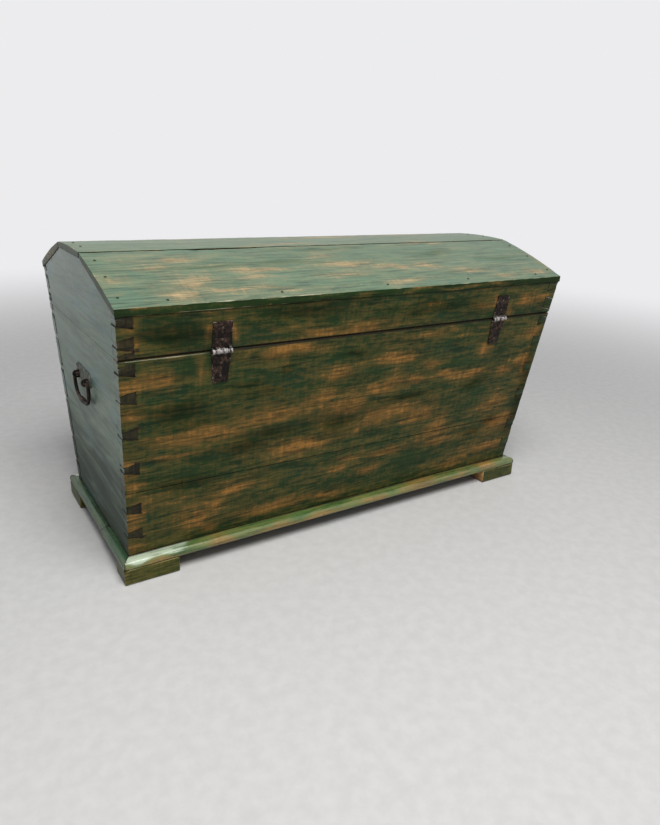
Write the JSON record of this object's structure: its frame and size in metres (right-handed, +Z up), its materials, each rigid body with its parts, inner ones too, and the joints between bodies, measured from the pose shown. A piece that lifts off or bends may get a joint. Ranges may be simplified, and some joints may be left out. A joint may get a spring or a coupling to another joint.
{
  "type": "dome top trunk",
  "caption": "Painted pine storage trunk with leaning dovetailed walls, a hinged domed plank lid, drop handles on the ends, a round-nosed base moulding and block feet.",
  "frame": {"origin": "on the ground, below the middle of the trunk", "axes": "+Z up, +X along the trunk to the right as seen from the hinge side, +Y from the hinge side (rear) towards the lock side (front)"},
  "size_m": [1.1264, 0.582, 0.6464],
  "materials": {
    "painted_pine": "worn green paint over ochre pine, waxed to a low sheen",
    "bare_pine": "bare aged pine, dull",
    "forged_iron": "dark rusted iron with bright worn edges",
    "nail_iron": "dark rusted iron",
    "lock_iron": "dull grey iron"
  },
  "bodies": {
    "chest": {"rear_wall_upper_board": "painted_pine", "rear_wall_lower_board": "painted_pine", "front_wall_upper_board": "painted_pine", "front_wall_lower_board": "painted_pine", "left_end_panel": "painted_pine", "right_end_panel": "painted_pine", "floor_board_rear": "bare_pine", "floor_board_middle": "bare_pine", "floor_board_front": "bare_pine", "rear_nosing": "painted_pine", "front_nosing": "painted_pine", "left_nosing_rear": "painted_pine", "left_nosing_front": "painted_pine", "right_nosing": "painted_pine", "rear_left_foot": "painted_pine", "rear_right_foot": "painted_pine", "front_left_foot": "painted_pine", "front_right_foot": "painted_pine", "left_hinge_lower_leaf": "forged_iron", "right_hinge_lower_leaf": "forged_iron", "left_hinge_pin": "forged_iron", "right_hinge_pin": "forged_iron", "left_handle_plate": "forged_iron", "left_handle_staples": "forged_iron", "right_handle_plate": "forged_iron", "right_handle_staples": "forged_iron", "floor_nails": "nail_iron", "nosing_nails": "nail_iron", "foot_nails": "nail_iron", "hinge_lower_nails": "nail_iron", "left_handle_nails": "nail_iron", "right_handle_nails": "nail_iron", "lock_case": "lock_iron", "keyhole_plate": "lock_iron", "lock_screws": "nail_iron", "keyhole_plate_pins": "nail_iron"},
    "lid": {"lid_rear_rail": "painted_pine", "lid_front_rail": "painted_pine", "lid_left_end": "painted_pine", "lid_right_end": "painted_pine", "dome_rear_board": "painted_pine", "dome_top_board": "painted_pine", "dome_front_board": "painted_pine", "left_hinge_upper_leaf": "forged_iron", "right_hinge_upper_leaf": "forged_iron", "dome_nails": "nail_iron", "hinge_upper_nails": "nail_iron", "lock_catch": "lock_iron", "catch_screws": "nail_iron"},
    "left_bail": {"left_bail": "forged_iron"},
    "right_bail": {"right_bail": "forged_iron"},
    "lock_bolt": {"lock_bolt": "lock_iron"}
  },
  "joints": [
    {"name": "lid_hinge", "type": "hinge", "parent": "chest", "child": "lid", "pos_m": [0, -0.28008, 0.48044], "axis": [1, 0, 0], "range_deg": [0, 110]},
    {"name": "left_bail_hinge", "type": "hinge", "parent": "chest", "child": "left_bail", "pos_m": [-0.55422, 0, 0.37376], "axis": [0, 1, 0], "range_deg": [0, 165]},
    {"name": "right_bail_hinge", "type": "hinge", "parent": "chest", "child": "right_bail", "pos_m": [0.55422, 0, 0.37376], "axis": [0, -1, 0], "range_deg": [0, 165]},
    {"name": "lock_bolt_slide", "type": "slide", "parent": "chest", "child": "lock_bolt", "axis": [1, 0, 0], "range_m": [0, 0.018]}
  ]
}
